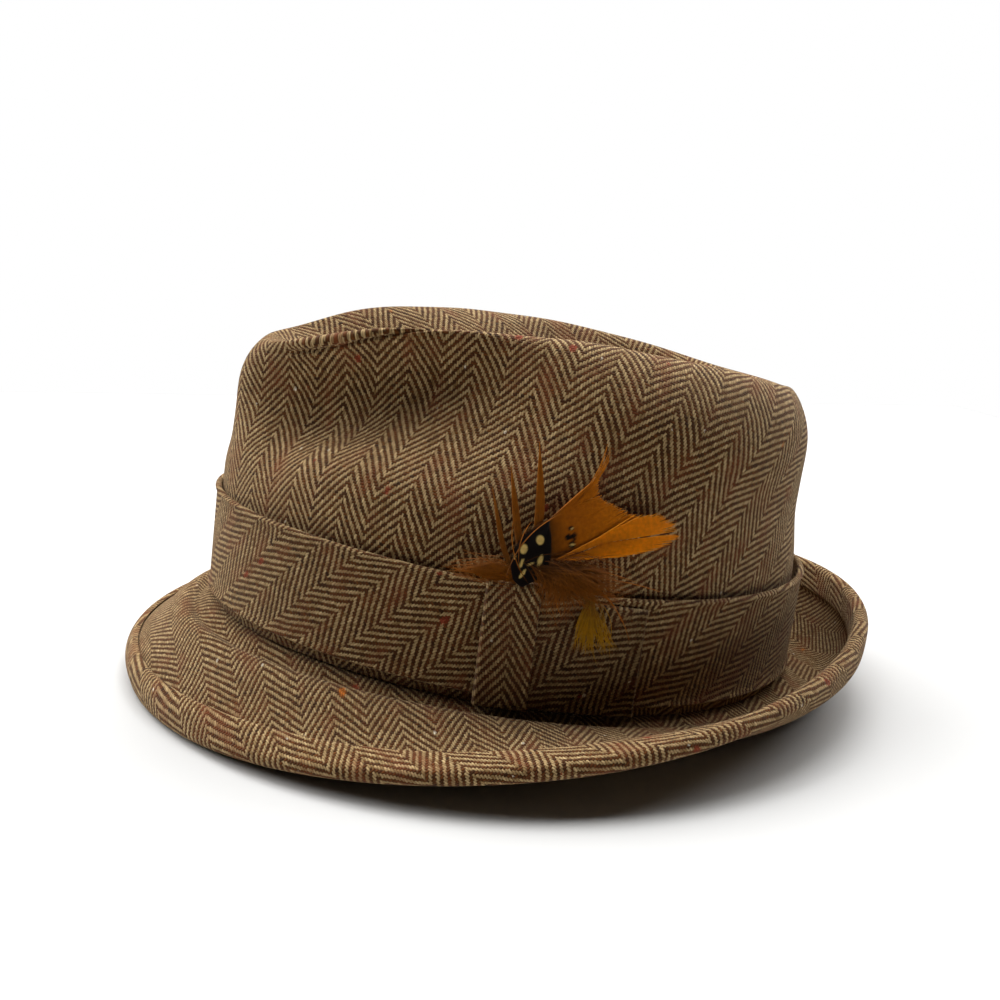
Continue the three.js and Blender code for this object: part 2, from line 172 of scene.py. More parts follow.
def smooth(knots, rows, at, level_ends=False):
    """Cubic spline of even curvature through rows of numbers at their knots. Its ends are straight,
    or level where the shape goes on as its own mirror image."""
    knots, rows, at = np.asarray(knots, float), np.asarray(rows, float), np.asarray(at, float)
    gap = np.diff(knots)
    slope = np.diff(rows, axis=0) / gap[:, None]
    size = len(knots)
    inner = np.arange(1, size - 1)
    matrix = np.zeros((size, size))
    right = np.zeros_like(rows)
    matrix[inner, inner - 1] = gap[:-1]
    matrix[inner, inner] = 2 * (gap[:-1] + gap[1:])
    matrix[inner, inner + 1] = gap[1:]
    right[1:-1] = 6 * np.diff(slope, axis=0)
    if level_ends:
        matrix[0, :2] = 2 * gap[0], gap[0]
        matrix[-1, -2:] = gap[-1], 2 * gap[-1]
        right[0], right[-1] = 6 * slope[0], -6 * slope[-1]
    else:
        matrix[0, 0] = matrix[-1, -1] = 1
    bend = np.linalg.solve(matrix, right)
    k = np.clip(np.searchsorted(knots, at, "right") - 1, 0, size - 2)
    h = gap[k][..., None]
    t = (at - knots[k])[..., None]
    r = h - t
    straight = (rows[k] / h - bend[k] * h / 6) * r + (rows[k + 1] / h - bend[k + 1] * h / 6) * t
    return straight + (bend[k] * r**3 + bend[k + 1] * t**3) / (6 * h)


def folded(angle):
    """Angle from the front round either side, 0 to 180 degrees."""
    return 180 - np.abs(180 - np.mod(angle, 360))


def unit(vectors):
    """Vectors brought to a length of one."""
    return vectors / np.maximum(np.linalg.norm(vectors, axis=-1, keepdims=True), 1e-9)


def oval_at(angle):
    """Head oval's point and outward normal in plan: an ellipse, the front at angle 0."""
    a = np.radians(angle)
    point = np.stack([oval_width / 2 * np.sin(a), -oval_length / 2 * np.cos(a)], -1)
    normal = np.stack([np.sin(a) / oval_width, -np.cos(a) / oval_length], -1)
    return point, unit(normal)


def frontness(angle, power):
    """Share that is one at the front and none at the back, raised to a power to gather it."""
    return ((1 + np.cos(np.radians(angle))) / 2) ** power


def saddle(angle):
    """Height of the crown's foot: a wave up at front and back, and a dip close round the front."""
    dip = front_dip * frontness(angle, front_dip_power)
    return oval_saddle * np.cos(2 * np.radians(angle)) - dip


def hat_point(angle, out, up):
    """Point a distance outwards from the head oval and a height above it, leaning forwards."""
    point, normal = oval_at(angle)
    plan = point + normal * np.asarray(out)[..., None]
    lean = crown_lean * np.asarray(up)
    return np.stack([plan[..., 0], plan[..., 1] - lean, up + 0 * plan[..., 0]], -1)


def lie(points):
    """The hat as it lies: turned about X so that its front rises, set down on the floor, and
    pressed flat where it would go below it."""
    x, y, z = points[..., 0], points[..., 1], points[..., 2]
    turned_y = y * np.cos(rest_pitch) + z * np.sin(rest_pitch)
    turned_z = z * np.cos(rest_pitch) - y * np.sin(rest_pitch)
    return np.stack([x, turned_y + middle_shift, np.maximum(turned_z - floor_height, 0)], -1)


def crown_grid(angles, levels):
    """Crown's outer surface: at each angle a spline from the foot up the side, over the ridge and
    down into the dent, its distances shares of the foot's oval and its heights of the ridge's."""
    rows = smooth(crown_rows[:, 0], crown_rows[:, 1:], folded(angles), level_ends=True)
    ridge = rows[:, :1] * crown_height
    middle = dent_middle * crown_height
    one, none = np.ones_like(ridge), np.zeros_like(ridge)
    shares = np.hstack([one, rows[:, 1:], none, -rows[:, -1:]])
    dent_ups = middle + dent_levels * (ridge - middle)
    foot_up = (saddle(angles) - crown_sink)[:, None]
    ups = np.hstack([foot_up, side_levels * ridge, dent_ups, middle * one, dent_ups[:, -1:]])
    knots = np.arange(shares.shape[1])
    share = smooth(knots, shares.T, levels).T
    up = smooth(knots, ups.T, levels).T
    point, normal = oval_at(angles)
    foot = point - normal * (band_wall + band_fit)
    return np.stack([foot[:, :1] * share, foot[:, 1:] * share - crown_lean * up, up], -1)


def grid_normals(points):
    """Unit normals of a closed grid of points, from the steps round it and along it."""
    around = np.roll(points, -1, 0) - np.roll(points, 1, 0)
    return unit(np.cross(around, np.gradient(points, axis=1)))


def numbered(rows, columns):
    """Grid of the numbers of its own places."""
    return np.arange(rows * columns).reshape(rows, columns)


def squares(grid):
    """Four-sided faces of a grid of numbers."""
    corners = [grid[:-1, :-1], grid[1:, :-1], grid[1:, 1:], grid[:-1, 1:]]
    return np.stack(corners, -1).reshape(-1, 4)


def flatten(points, start, rounds=60):
    """Lays a grid of cloth flat with as little stretch as it can: each triangle keeps its own
    shape but turns, and the corners that they share meet between them, over and over. The last
    column of the grid is one point."""
    hold, least, most = 1e-6, 0.05, 5
    rows, columns = points.shape[:2]
    number = numbered(rows, columns)
    number[:, -1] = number[0, -1]
    corners = np.vstack([squares(number)[:, [0, 1, 2]], squares(number)[:, [0, 2, 3]]])
    corners = corners[(corners != np.roll(corners, 1, 1)).all(1)]
    used, corners = np.unique(corners, return_inverse=True)
    corners = corners.reshape(-1, 3)
    place = points.reshape(-1, 3)[used]
    flat = start.reshape(-1, 2)[used].copy()
    a, b, c = (place[corners[:, k]] for k in range(3))
    first, second = b - a, c - a
    length = np.linalg.norm(first, axis=1)
    along = (first * second).sum(1) / length
    height = np.linalg.norm(np.cross(first, second), axis=1) / length
    own = np.zeros((len(corners), 3, 2))
    own[:, 1, 0], own[:, 2, 0], own[:, 2, 1] = length, along, height
    matrix = np.eye(len(used)) * hold
    sides = []
    for i, j, k in ((0, 1, 2), (1, 2, 0), (2, 0, 1)):
        p, q = own[:, i] - own[:, k], own[:, j] - own[:, k]
        cross = np.abs(p[:, 0] * q[:, 1] - p[:, 1] * q[:, 0])
        weight = np.clip((p * q).sum(1) / np.maximum(cross, 1e-6), least, most)
        one, other = corners[:, i], corners[:, j]
        sides.append((one, other, own[:, i] - own[:, j], weight))
        for row, column, share in ((one, one, weight), (other, other, weight),
                                   (one, other, -weight), (other, one, -weight)):
            np.add.at(matrix, (row, column), share)
    inverse = np.linalg.inv(matrix)
    for _ in range(rounds):
        turn_sin, turn_cos = np.zeros((2, len(corners)))
        for one, other, e, weight in sides:
            f = flat[one] - flat[other]
            turn_cos += weight * (e * f).sum(1)
            turn_sin += weight * (e[:, 0] * f[:, 1] - e[:, 1] * f[:, 0])
        length = np.maximum(np.hypot(turn_sin, turn_cos), 1e-12)
        cosine, sine = turn_cos / length, turn_sin / length
        pull = flat * hold
        for one, other, e, weight in sides:
            turned = np.stack([cosine * e[:, 0] - sine * e[:, 1],
                               sine * e[:, 0] + cosine * e[:, 1]], 1) * weight[:, None]
            np.add.at(pull, one, turned)
            np.add.at(pull, other, -turned)
        flat = inverse @ pull
    whole = np.zeros((rows * columns, 2))
    whole[used] = flat
    return whole[number]


def turn(pattern, angle):
    """Flat cloth coordinates turned by an angle, as cloth is cut off the straight grain."""
    c, s = np.cos(angle), np.sin(angle)
    return np.stack([pattern[..., 0] * c - pattern[..., 1] * s,
                     pattern[..., 0] * s + pattern[..., 1] * c], -1)


def face_out(mesh, merge_within=0.0):
    """Merges a new mesh's doubles where a distance is given, and turns its faces outwards."""
    work = bmesh.new()
    work.from_mesh(mesh)
    if merge_within:
        bmesh.ops.remove_doubles(work, verts=work.verts, dist=merge_within)
    if work.calc_volume(signed=True) < 0:
        bmesh.ops.reverse_faces(work, faces=work.faces)
    work.to_mesh(mesh)
    work.free()


def cloth(name, points, pattern, section_closed=True, ends_closed=False):
    """Mesh from a grid of points in millimetres, round the hat and along the section, with the
    cloth's own flat coordinates as its UV map, which has one more row and column where a closed
    grid meets itself. A strip with closed ends doesn't go round the hat."""
    columns = points.shape[1]
    number = numbered(*points.shape[:2])
    if not ends_closed:
        number = np.vstack([number, number[:1]])
    if section_closed:
        number = np.hstack([number, number[:, :1]])
    pattern = pattern[:number.shape[0], :number.shape[1]]
    faces = squares(number).tolist()
    corner_uv = pattern.reshape(-1, 2)[squares(numbered(*number.shape)).ravel()]
    if ends_closed:
        faces += [number[0, :-1][::-1].tolist(), number[-1, :-1].tolist()]
        corner_uv = np.vstack([corner_uv, pattern[0, :columns][::-1], pattern[-1, :columns]])
    mesh = bpy.data.meshes.new(name)
    mesh.from_pydata((points.reshape(-1, 3) / 1000).tolist(), [], faces)
    layer = mesh.uv_layers.new(name="cloth")
    layer.data.foreach_set("uv", np.asarray(corner_uv, np.float32).ravel())
    face_out(mesh, merge_within=1e-6)
    mesh.shade_smooth()
    return put(name, mesh)


def dress(piece, material, node):
    """Gives a finished piece its material and its place on the hat."""
    piece.data.materials.append(material)
    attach(piece, "root")
    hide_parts(node)


def paint(red, green, blue):
    """Linear colour of 0 to 255 values as seen on a screen."""
    seen = np.array([red, green, blue]) / 255
    linear = np.where(seen <= 0.04045, seen / 12.92, ((seen + 0.055) / 1.055) ** 2.4)
    return (*linear.tolist(), 1.0)


warp_step = 0.587
weft_step = 0.81
threads_across = 16.0
cream_dark, cream_light = (136, 105, 63), (210, 180, 130)
brown_dark, brown_light = (54, 28, 7), (106, 60, 21)
patch_brown = (128, 64, 32)
sheen_colour = (1.0, 0.86, 0.68, 1)
# how far apart flecks lie, their seed, size and colour, and the share of places that has one
flecks = (
    (8.5, 3.0, 0.13, (150, 50, 26), 0.45),
    (15.0, 11.0, 0.09, (206, 112, 26), 0.4),
    (6.0, 23.0, 0.075, (240, 228, 204), 0.6),
)


def tweed(name, painted_shade_tone=1.0):
    """Wool herringbone: cream warp over brown weft, two over and two under, the twill turning back
    at every column, with uneven yarns and flecks of rust, orange and cream in them. A tone below
    one darkens all its colours by that share, as painted shade on a piece of the same cloth."""
    material, tree, shader = new_finish(name, roughness=0.95)

    # each colour is scaled by the piece's tone, which below one is painted shade
    def dyed_and_shaded(colour):
        return paint(*(part * painted_shade_tone for part in colour))

    def node(kind, **settings):
        made = tree.nodes.new(kind)
        for key, value in settings.items():
            setattr(made, key, value)
        return made

    def feed(socket, value):
        if isinstance(value, bpy.types.NodeSocket):
            tree.links.new(value, socket)
        else:
            socket.default_value = value

    def combined(kind, *values, **settings):
        made = node(kind, **settings)
        for k, value in enumerate(values):
            feed(made.inputs[k], value)
        return made.outputs[0]

    def maths(operation, *values):
        return combined("ShaderNodeMath", *values, operation=operation)

    times, plus, minus, times_plus = (
        lambda *values, operation=operation: maths(operation, *values)
        for operation in ("MULTIPLY", "ADD", "SUBTRACT", "MULTIPLY_ADD"))

    def vector(*values):
        return combined("ShaderNodeCombineXYZ", *values)

    def split(value):
        made = node("ShaderNodeSeparateXYZ")
        feed(made.inputs[0], value)
        return made.outputs

    def blend(share, one, other, kind="RGBA", mode="MIX"):
        made = node("ShaderNodeMix", data_type=kind, blend_type=mode)
        first, result = {"FLOAT": (2, 0), "VECTOR": (4, 1), "RGBA": (6, 2)}[kind]
        for k, value in ((0, share), (first, one), (first + 1, other)):
            feed(made.inputs[k], value)
        return made.outputs[result]

    def noise(place, scale, detail=2.0, out="Fac"):
        made = node("ShaderNodeTexNoise", noise_dimensions="3D")
        feed(made.inputs["Vector"], place)
        fill(made, Scale=scale, Detail=detail)
        return made.outputs[out]

    def ramp(value, low, high):
        made = node("ShaderNodeMapRange", clamp=True)
        feed(made.inputs[0], value)
        made.inputs[1].default_value = low
        made.inputs[2].default_value = high
        return made.outputs[0]

    flat = node("ShaderNodeUVMap", uv_map="cloth").outputs[0]
    parts = split(flat)
    sway = split(noise(flat, 0.07, 3.0, "Color"))
    kinks = split(noise(flat, 0.9, 2.0, "Color"))
    sway_size, kink_size = 1.8, 0.8

    def strayed(k):
        """Flat coordinate with the cloth's slow sway and the yarns' own small kinks added."""
        slow = times(minus(sway[k], 0.5), sway_size)
        quick = times(minus(kinks[k], 0.5), kink_size)
        return plus(parts[k], plus(slow, quick))

    u, v = strayed(0), strayed(1)
    across, along = maths("DIVIDE", u, warp_step), maths("DIVIDE", v, weft_step)
    end, pick = maths("FLOOR", across), maths("FLOOR", along)
    in_end, in_pick = maths("FRACT", across), maths("FRACT", along)
    column = maths("FLOOR", maths("DIVIDE", end, threads_across))
    way = minus(1.0, times(maths("FLOORED_MODULO", column, 2.0), 2.0))
    step = maths("FLOORED_MODULO", times_plus(end, way, pick), 4.0)
    warp_up = maths("LESS_THAN", step, 1.5)

    # Each float is a small cushion: round across the yarn and bowed along its two crossings
    warp_run = times(plus(step, in_pick), 0.5)
    onwards = maths("GREATER_THAN", way, 0.0)
    weft_in = blend(onwards, minus(1.0, in_end), in_end, "FLOAT")
    weft_run = times(minus(plus(step, weft_in), 2.0), 0.5)
    yarn_side = blend(warp_up, in_pick, in_end, "FLOAT")
    yarn_run = blend(warp_up, weft_run, warp_run, "FLOAT")
    round_side = maths("SINE", times(yarn_side, np.pi))
    round_run = maths("SINE", times(yarn_run, np.pi))
    cushion = times(round_side, times_plus(round_run, 0.6, 0.4))

    # Yarns vary along their length, each on its own, from a dark shade to a light one
    apart, stretch = 3.7, 0.16
    warp_place = vector(times(end, apart), times(v, stretch), 0.0)
    weft_place = vector(times(u, stretch), times(pick, apart), 40.0)
    yarn_place = blend(warp_up, weft_place, warp_place, "VECTOR")
    uneven = ramp(noise(yarn_place, 1.0, 2.0), 0.3, 0.7)
    cream = blend(uneven, dyed_and_shaded(cream_dark), dyed_and_shaded(cream_light))
    brown = blend(uneven, dyed_and_shaded(brown_dark), dyed_and_shaded(brown_light))

    # The twill's lines, sharpened by the floats and blurred by slubs, choose cream or brown, and
    # warmer patches lie over both
    diagonal = plus(times(across, way), along)
    lead = minus(diagonal, times_plus(way, 0.5, 1.0))
    twill = maths("COSINE", times(lead, np.pi / 2))
    slubs = minus(noise(yarn_place, 4.0, 1.0), 0.5)
    line = plus(times_plus(twill, 0.5, times(warp_up, 0.55)), times(slubs, 1.1))
    colour = blend(ramp(line, 0.08, 0.55), brown, cream)
    patches = ramp(noise(vector(u, times(v, 0.4), 70.0), 0.16, 3.0), 0.52, 0.72)
    colour = blend(times(patches, 0.5), colour, dyed_and_shaded(patch_brown))

    # Flecks spun into the yarn, stretched along it and ragged at their edges
    fibres = noise(flat, 2.6, 3.0)
    for spread, seed, size, tint, odds in flecks:
        spots = node("ShaderNodeTexVoronoi", voronoi_dimensions="3D", feature="F1")
        feed(spots.inputs["Vector"], vector(u, times(v, 0.6), seed * 10))
        fill(spots, Scale=1 / spread)
        lot = node("ShaderNodeSeparateColor")
        feed(lot.inputs[0], spots.outputs["Color"])
        ragged = times_plus(minus(fibres, 0.5), size * 1.8, spots.outputs["Distance"])
        reach = times_plus(lot.outputs[1], size * 0.6, size * 0.4)
        near = maths("LESS_THAN", ragged, reach)
        chosen = times(near, maths("LESS_THAN", lot.outputs[0], odds))
        cover = times(chosen, times_plus(warp_up, 0.4, 0.5))
        colour = blend(cover, colour, paint(*tint))

    # Loose fibres soften it and vary its tone at random, and painted shade darkens the hollows
    # between yarns, where each cushion dips
    painted_hollow_shade = times_plus(cushion, 0.55, 0.5)
    # painted shade: the colour is multiplied down in the hollows between the yarns
    shade = times(painted_hollow_shade, times_plus(fibres, 0.5, 0.75))
    grey = combined("ShaderNodeCombineColor", shade, shade, shade)
    feed(shader.inputs["Base Color"], blend(1.0, colour, grey, mode="MULTIPLY"))
    bump = node("ShaderNodeBump")
    fill(bump, Strength=0.7, Distance=0.00035)
    feed(bump.inputs["Height"], plus(cushion, times(fibres, 0.5)))
    feed(shader.inputs["Normal"], bump.outputs[0])
    fill(shader, Specular_IOR_Level=0.12, Sheen_Weight=0.12, Sheen_Roughness=0.5,
         Sheen_Tint=sheen_colour)
    return material


# The row at the back is there twice, so that each panel has its own pattern up to the seam
half_round = np.linspace(0, 180, 151)
crown_angles = np.concatenate([half_round, half_round[:-1] + 180])
back = len(half_round)
crown_levels = np.concatenate([
    np.linspace(0, 3, 34)[:-1], np.linspace(3, 4.3, 20)[:-1], np.linspace(4.3, 5.3, 34)[:-1],
    np.linspace(5.3, 6.2, 15)[:-1], np.linspace(6.2, crown_top, 22)])
roll_rise, roll_level, roll_width = 2.0, 4.95, 0.24
crease_depth, crease_level, crease_width = 2.4, 4.56, 0.06
crease_climb = 0.012
wave_height = 0.13


def bell(at, middle, width):
    """Smooth hump, one at its middle."""
    return np.exp(-((at - middle) / width) ** 2)


def handled(angles, levels):
    """How far handling has moved the cloth outwards: the ridge rolls over a crease in front on the
    left side, from 15 to 40 degrees, and slow waves of a third of a millimetre lie everywhere."""
    a, k = np.meshgrid(angles, levels, indexing="ij")
    near_front = 1 / (1 + np.exp(-(a - 15) / 2.5)) / (1 + np.exp((a - 40) / 3.5))
    roll = roll_rise * near_front * bell(k, roll_level, roll_width)
    crease_at = crease_level + crease_climb * (a - 12)
    crease = crease_depth * near_front * bell(k, crease_at, crease_width)
    turns = np.radians(a)
    waves = np.sin(7 * turns + 2.1 * k) + np.sin(11 * turns - 3.3 * k + 1)
    waves += np.sin(5 * turns + 4.4 * k + 2)
    settled = np.clip(k, 0, 1) * np.clip((crown_top - k) / 2, 0, 1)
    return roll - crease + wave_height * waves * settled


def run_along(points, axis=0):
    """Distances along lines of points, from nought at their first one."""
    steps = np.linalg.norm(np.diff(points, axis=axis), axis=-1)
    start = np.zeros_like(np.take(steps, [0], axis))
    return np.concatenate([start, np.cumsum(steps, axis=axis)], axis)


outer = crown_grid(crown_angles, crown_levels)
outer += grid_normals(outer) * handled(crown_angles, crown_levels)[..., None]
outer[back] = outer[back - 1]
inner = outer - grid_normals(outer) * crown_wall
inner[back] = inner[back - 1]
inner[:, -1] = outer[:, -1] - [0, 0, crown_wall]
inner[:, 0, 2] = outer[:, 0, 2]

# One panel is laid flat, its side upright, then leant, and read for both sides
panel_angles = np.linspace(0, 180, 37)
panel_levels = np.linspace(0, crown_top, 33)
side_row, waist_column = 18, 10
other_panel = (137.0, 61.0)
panel = crown_grid(panel_angles, panel_levels)
girth = run_along(panel[:, 0])
narrowing = 1 - 0.5 * panel_levels / crown_top
across = (girth[:, None] - girth[side_row]) * narrowing
panel_flat = flatten(panel, np.stack([across, run_along(panel, 1)], -1))
panel_flat = panel_flat - panel_flat[side_row, 0]
upright = panel_flat[side_row, waist_column]
panel_flat = turn(panel_flat, np.pi / 2 - np.arctan2(upright[1], upright[0]))
panel_flat = turn(panel_flat, column_lean)
by_level = panel_flat.transpose(1, 0, 2).reshape(len(panel_levels), -1)
by_level = smooth(panel_levels, by_level, crown_levels).reshape(len(crown_levels), -1, 2)
by_angle = by_level.transpose(1, 0, 2).reshape(len(panel_angles), -1)
around = np.append(crown_angles, 360.0)
pattern = smooth(panel_angles, by_angle, folded(around)).reshape(len(around), -1, 2)
pattern[back:] += other_panel
pattern_both = np.concatenate([pattern[:, ::-1], pattern], 1)
crown = cloth("crown_cloth", lie(np.concatenate([inner[:, ::-1], outer], 1)), pattern_both,
              section_closed=False)
dress(crown, tweed("crown_tweed"), "crown")

# Brim: one layer of stiffened tweed round the crown's foot, snapped down in front and curled up
# at the sides and back, with the cloth's columns running across the hat.
brim_width = 38.0
brim_wall = 2.0
brim_gap = 0.6
tuck = 3.0
tuck_out, tuck_width, tuck_power = 3.2, 3.0, 0.7
# angle, then out and up of four points from the crown to the edge
brim_rows = np.array([
    [0, 0.2, -0.25, 0.4, -0.46, 0.57, -0.65, 0.57, -0.805],
    [30, 0.22, -0.21, 0.43, -0.41, 0.62, -0.59, 0.68, -0.73],
    [60, 0.24, -0.165, 0.47, -0.285, 0.7, -0.4, 0.88, -0.465],
    [90, 0.25, -0.14, 0.5, -0.12, 0.73, -0.085, 0.94, -0.07],
    [120, 0.26, -0.13, 0.48, -0.02, 0.655, 0.14, 0.75, 0.31],
    [150, 0.25, -0.09, 0.46, 0.06, 0.57, 0.33, 0.585, 0.58],
    [180, 0.24, -0.085, 0.43, 0.07, 0.53, 0.38, 0.56, 0.675],
])


def brim_line(angles, distances):
    """Middle of the brim's cloth: at each angle a spline from under the crown through four points
    to the edge, tucked down under the band, read at distances along it or back from the edge."""
    rows = smooth(brim_rows[:, 0], brim_rows[:, 1:], folded(angles), level_ends=True) * brim_width
    root_out = -band_wall - band_fit - crown_wall + 0 * angles
    root_up = saddle(angles) - crown_sink - brim_gap - brim_wall / 2
    outs = np.vstack([root_out, rows[:, 0::2].T])
    ups = np.vstack([root_up, rows[:, 1::2].T])
    fine = np.linspace(0, 4, 161)
    line = np.stack([smooth(range(5), outs, fine), smooth(range(5), ups, fine)], -1)
    tucked = tuck * frontness(angles, tuck_power)
    line[..., 1] -= tucked * bell(line[..., 0], tuck_out, tuck_width)
    run = run_along(line)
    found = np.empty((len(angles), len(distances), 2))
    for k in range(len(angles)):
        at = np.where(distances < 0, run[-1, k] + distances, distances * run[-1, k])
        at[distances >= 1] = run[-1, k]
        found[k, :, 0] = np.interp(at, run[:, k], line[:, k, 0])
        found[k, :, 1] = np.interp(at, run[:, k], line[:, k, 1])
    return found, run[-1]


def turned_left(flat):
    """Vectors in a plane turned to the left by a right angle."""
    return np.stack([-flat[..., 1], flat[..., 0]], -1)


def side_of(lines):
    """Unit normals of lines in a plane, to their left, which is a section's upper side."""
    return turned_left(unit(np.gradient(lines, axis=1)))


def round_hat(angles, section):
    """Points of a section in out and up, at angles round the head oval, on the hat as it lies."""
    angle_grid = np.repeat(angles[:, None], section.shape[1], 1)
    return lie(hat_point(angle_grid, section[..., 0], section[..., 1]))


brim_angles = np.linspace(0, 360, 256, endpoint=False)
brim_shares = np.linspace(0, 1, 44)
line, brim_runs = brim_line(brim_angles, brim_shares)
normals = side_of(line)
line[:, -1] = line[:, -1] * 0.4 + line[:, -2] * 0.6  # the cut edge is rounded off
half_wall = normals * brim_wall / 2
section = np.concatenate([line + half_wall, (line - half_wall)[:, ::-1]], 1)
foot, away = oval_at(np.append(brim_angles, 360.0))
spread = (np.append(brim_runs, brim_runs[0])[:, None] * brim_shares)[..., None]
brim_flat = foot[:, None] + away[:, None] * spread
brim_flat = brim_flat[..., ::-1] * [1, -1]
brim_flat = np.concatenate([brim_flat, brim_flat[:, ::-1], brim_flat[:, :1]], 1)
brim = cloth("brim_cloth", round_hat(brim_angles, section), brim_flat)
# painted shade: the brim's tweed is the same cloth, darkened to 0.94
dress(brim, tweed("brim_tweed", 0.94), "brim")

# Binding: a bias strip of the tweed folded round the brim's edge over a soft roll and sewn down
# out of sight, so that its columns cross the edge at half a right angle.
binding_width = 8.0
binding_wall = 1.3
binding_fit = 0.45
binding_puff = 0.5
binding_edge = 0.15
binding_lean = np.radians(45)
binding_steps, outer_steps, inner_steps = 16, 15, 9
binding_angles = np.linspace(0, 360, 384, endpoint=False)
binding_inside = brim_wall / 2 + binding_fit
binding_outside = binding_inside + binding_wall
from_edge = -np.linspace(binding_width, 0.4, binding_steps)
line, _ = brim_line(binding_angles, np.append(from_edge, 1.0))
normals = side_of(line)
edge = line[:, -1:]
edge_up = normals[:, -1:]
edge_out = -turned_left(edge_up)


def pairs(one, other):
    """Grid of pairs of numbers from two that are spread over each other."""
    return np.stack(np.broadcast_arrays(one, other), -1)


def round_edge(radius, steps):
    """Half circle round the brim's edge from its upper side to its lower one."""
    a = np.linspace(np.pi / 2, -np.pi / 2, steps)[None, :, None]
    return edge + radius * (np.sin(a) * edge_up + np.cos(a) * edge_out)


inwards = np.linspace(0, 1, binding_steps)[None, :, None]
ease = np.sqrt(np.clip(inwards / 0.12, 0, 1))
swell = binding_inside + binding_edge + (binding_wall - binding_edge) * ease
puff = binding_puff * np.sin(np.pi * inwards)
top = line[:, :-1] + normals[:, :-1] * (swell + puff)
bottom = line[:, :-1] - normals[:, :-1] * swell
top_in = (line[:, :-1] + normals[:, :-1] * binding_inside)[:, ::-1]
bottom_in = line[:, :-1] - normals[:, :-1] * binding_inside
section = np.concatenate([top, round_edge(binding_outside, outer_steps), bottom[:, ::-1],
                          bottom_in, round_edge(binding_inside, inner_steps)[:, ::-1], top_in], 1)
binding_points = round_hat(binding_angles, section)
rim = binding_points[:, binding_steps + outer_steps // 2]
rim_run = run_along(np.vstack([rim, rim[:1]]))
across = np.linalg.norm(np.diff(section, axis=1), axis=2).mean(0)
across = np.concatenate([[0], np.cumsum(across)])
binding_flat = pairs(rim_run[:, None], np.append(across, across[-1] + 1))
binding = cloth("binding_cloth", binding_points, turn(binding_flat, binding_lean))
dress(binding, tweed("binding_tweed"), "brim_binding")

# Hat band: a strip of the tweed cut on the bias and folded in at both edges, which makes them
# fuller. It is laid round the foot of the crown, in the corner with the brim.
band_height = 34.3
bow_angle = 76.6
band_lean = np.radians(45)
fold_width = 0.8


def walk(angle_from, distances):
    """Angles reached at distances along the head oval from an angle."""
    fine = np.linspace(-200, 560, 6081)
    run = run_along(oval_at(fine)[0])
    return np.interp(np.interp(angle_from, fine, run) + distances, run, fine)


def strip_section(wall, high, bead):
    """Closed section of a folded strip: an upright slab with rounded ends, as out and up, from the
    foot of its outer face up, over and down its back. Where it is folded, the outer face is
    fuller by a bead."""
    r = wall / 2
    a = np.linspace(0, np.pi, 5)
    up = r + (high - 2 * r) * (1 - np.cos(np.linspace(0, np.pi, 24))) / 2
    full = bead * (bell(up, high - 1.0, fold_width) + bell(up, 1.0, fold_width))
    over = np.stack([r * np.cos(a), high - r + r * np.sin(a)], -1)[1:-1]
    under = np.stack([-r * np.cos(a), r - r * np.sin(a)], -1)[1:-1]
    return np.concatenate([np.stack([r + full, up], -1), over,
                           np.stack([-r + 0 * up, up[::-1]], -1), under])


band_runs = np.linspace(0, 1, 384, endpoint=False)
band_girth = run_along(oval_at(np.linspace(0, 360, 3601))[0])[-1]
band_angles = walk(bow_angle, band_runs * band_girth)
strip_line = strip_section(band_wall, band_height, bead=0.6)
band_up = strip_line[:, 1] + saddle(band_angles)[:, None]
band_section = pairs(strip_line[:, 0] - band_wall / 2, band_up)
around = np.append(band_runs, 1.0) * band_girth
across = run_along(strip_line)
band_flat = pairs(around[:, None], np.append(across, across[-1] + 1))
band = cloth("band_cloth", round_hat(band_angles, band_section), turn(band_flat, band_lean))
# painted shade: the band's tweed is the same cloth, darkened to 0.97
dress(band, tweed("band_tweed", 0.97), "hat_band")

# Bow: a flat tail of the same cloth on the band, and an upright keeper looped over its end and
# over the band's upper edge.
keeper_width = 16.0
keeper_wall = 1.2
keeper_hang = 2.1
tail_length = 33.0
tail_wall = 1.6
tail_drop = 2.6
tail_hang = 1.2
lower_droop = 0.3
clearance = 0.3
fold_in = 1.1
end_reach = 2.4


def strip(name, distances, section_of, lean, shift, end_round, beads):
    """A strip on the band: its section at each distance from the bow's middle, thinned to a round
    edge at both ends and fuller by a bead next to them. Its flat coordinates are the distance
    along the band and the height on it, turned by lean and shifted."""
    angles = walk(bow_angle, distances)
    sections = section_of(distances, angles)
    from_end = np.minimum(distances - distances[0], distances[-1] - distances)
    reach = np.clip(1 - from_end / end_round, 0, 1)
    thin = np.sqrt(np.clip(1 - reach**2, 0.02, 1))[:, None]
    out_middle = (sections[..., 0].max(1) + sections[..., 0].min(1))[:, None] / 2
    fuller = beads[0] * bell(distances, distances[0] + fold_in, fold_width)
    fuller += beads[1] * bell(distances, distances[-1] - fold_in, fold_width)
    from_middle = sections[..., 0] - out_middle
    sections[..., 0] = out_middle + from_middle * thin + (from_middle > 0) * fuller[:, None]
    pattern = turn(pairs(distances[:, None], sections[..., 1]), lean) + (shift, 0.0)
    pattern = np.concatenate([pattern, pattern[:, :1]], 1)
    return cloth(name, round_hat(angles, sections), pattern, ends_closed=True)


def tail_section(distances, angles):
    """Upright slab between the band's edges, drooping towards its free end."""
    share = (distances - distances[0]) / (distances[-1] - distances[0])
    base = strip_section(tail_wall, band_height, bead=0.5)
    shape = np.clip(base[:, 1] / band_height, 0, 1)
    droop = tail_drop * share
    low = saddle(angles) - tail_hang - droop * lower_droop
    high = saddle(angles) + band_height - droop
    up = low[:, None] + shape[None] * (high - low)[:, None]
    return pairs(clearance + tail_wall / 2 + base[:, 0], up)


